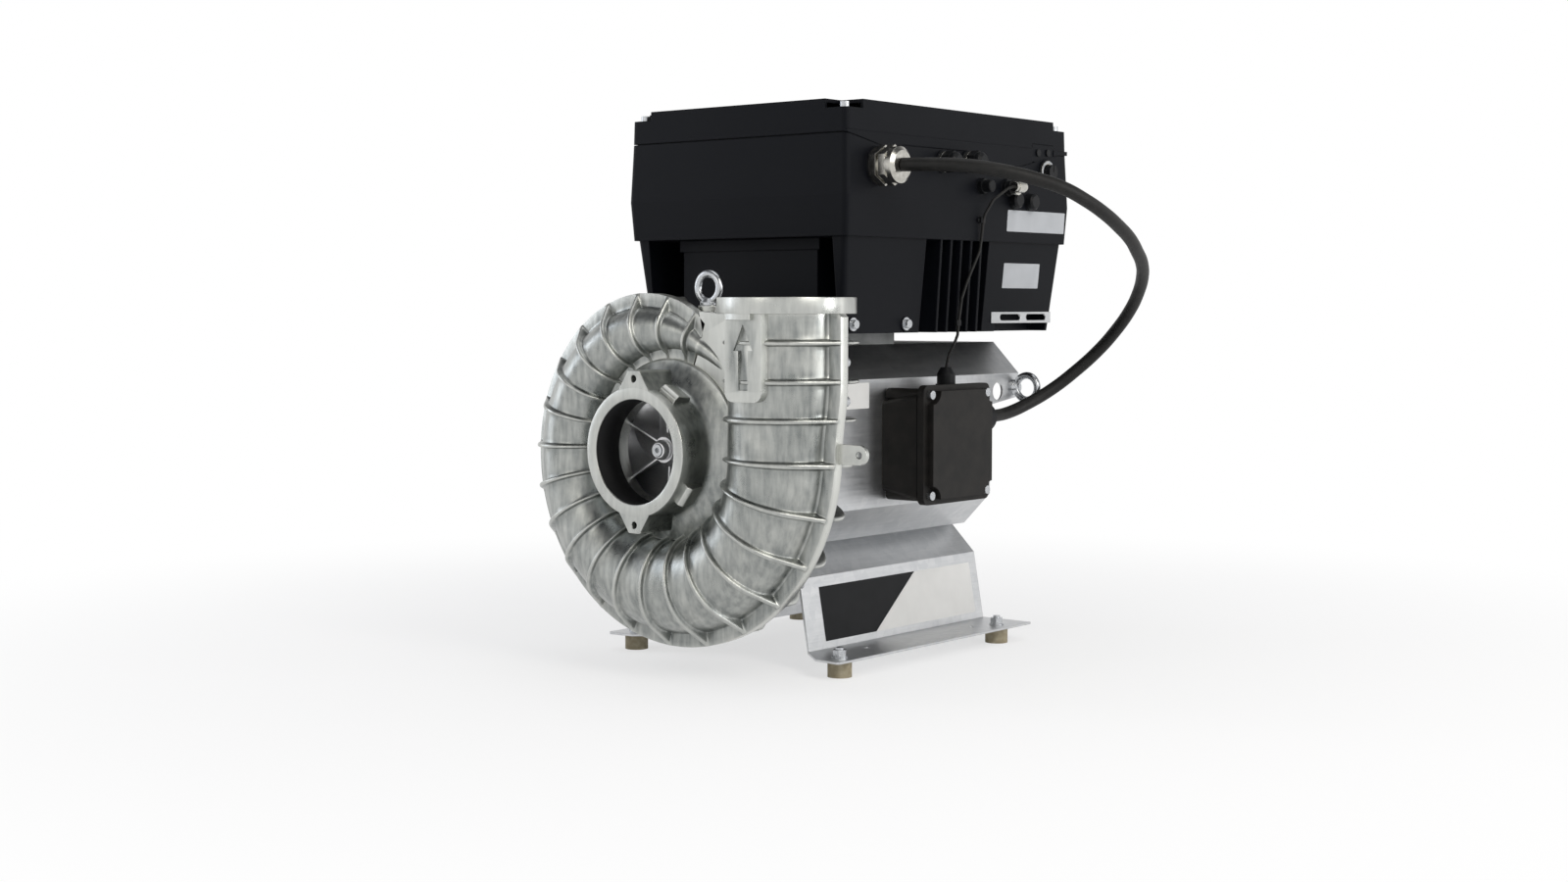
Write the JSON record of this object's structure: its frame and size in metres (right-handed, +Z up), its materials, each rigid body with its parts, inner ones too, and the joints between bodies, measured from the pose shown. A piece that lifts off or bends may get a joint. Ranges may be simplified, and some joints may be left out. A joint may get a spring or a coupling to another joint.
{
  "type": "centrifugal blower",
  "caption": "Centrifugal blower: ribbed cast scroll, bladed impeller, shrouded motor with terminal box, inverter on top, folded base on rubber feet.",
  "frame": {"origin": "centre of the four rubber feet, on the floor", "axes": "+Z up; -Y is the way the inlet faces, along the shaft; +X is the side of the outlet and the terminal box"},
  "size_m": [0.5217, 0.5786, 0.5832],
  "materials": {
    "cast_aluminium": "semi-bright casting",
    "motor_casting": "plain casting",
    "zinc_sheet": "folded zinc-coated sheet",
    "plated_steel": "zinc-plated",
    "black_housing": "black powder coat",
    "box_plastic": "moulded",
    "black_plastic": "moulded",
    "seal_rubber": "matte",
    "cable_sheath": "matte",
    "nickel_plate": "nickel-plated brass",
    "buffer_rubber": "matte",
    "polished_aluminium": "polished",
    "core_steel": "bare",
    "copper": "lacquered wire",
    "board": "printed circuit board"
  },
  "bodies": {
    "housing": {"volute_cover": "cast_aluminium", "volute_back": "cast_aluminium", "volute_screws": "plated_steel", "shaft_seal": "seal_rubber", "front_bearing": "plated_steel", "rear_bearing": "plated_steel", "stator_core": "core_steel", "stator_windings": "copper", "motor_frame": "motor_casting", "front_end_shield": "motor_casting", "rear_end_shield": "motor_casting", "fan_cowl": "black_plastic", "motor_shroud": "zinc_sheet", "base_bracket": "zinc_sheet", "frame_bolts": "plated_steel", "rubber_feet": "buffer_rubber", "foot_studs": "plated_steel", "foot_washers": "plated_steel", "foot_nuts": "plated_steel", "adapter_block": "motor_casting", "inverter_base": "black_housing", "inverter_lid": "black_housing", "lid_gasket": "seal_rubber", "lid_screws": "plated_steel", "side_screws": "plated_steel", "circuit_board": "board", "capacitors": "black_plastic", "mounting_strip": "zinc_sheet", "knob_bezel": "nickel_plate", "blind_glands": "black_plastic", "gland_rings": "nickel_plate", "sensor_gland": "black_plastic", "signal_socket": "black_plastic", "signal_plug": "nickel_plate", "socket_caps": "black_plastic", "lid_plugs": "black_plastic", "cable_gland": "nickel_plate", "gland_nut": "nickel_plate", "gland_seal": "seal_rubber", "terminal_box": "box_plastic", "box_gasket": "seal_rubber", "box_cover": "box_plastic", "box_screws": "plated_steel", "terminal_block": "black_plastic", "rear_gland": "black_plastic", "top_gland": "black_plastic", "front_eye_bolt": "plated_steel", "rear_eye_bolt": "plated_steel", "motor_cable": "cable_sheath", "signal_lead": "cable_sheath", "lead_clips": "black_plastic", "flange_bolts": "plated_steel"},
    "rotor": {"impeller": "polished_aluminium", "impeller_nose": "polished_aluminium", "impeller_screw": "plated_steel", "motor_shaft": "plated_steel", "shaft_key": "plated_steel", "rotor_core": "core_steel", "motor_fan": "black_plastic"},
    "knob": {"speed_knob": "black_plastic"}
  },
  "joints": [
    {"name": "rotor_spin", "type": "hinge", "parent": "housing", "child": "rotor", "pos_m": [0, 0, 0.23], "axis": [0, -1, 0], "continuous": true},
    {"name": "knob_turn", "type": "hinge", "parent": "housing", "child": "knob", "pos_m": [0.155, 0.226, 0.5256], "axis": [1, 0, 0], "range_deg": [-135, 135]}
  ]
}
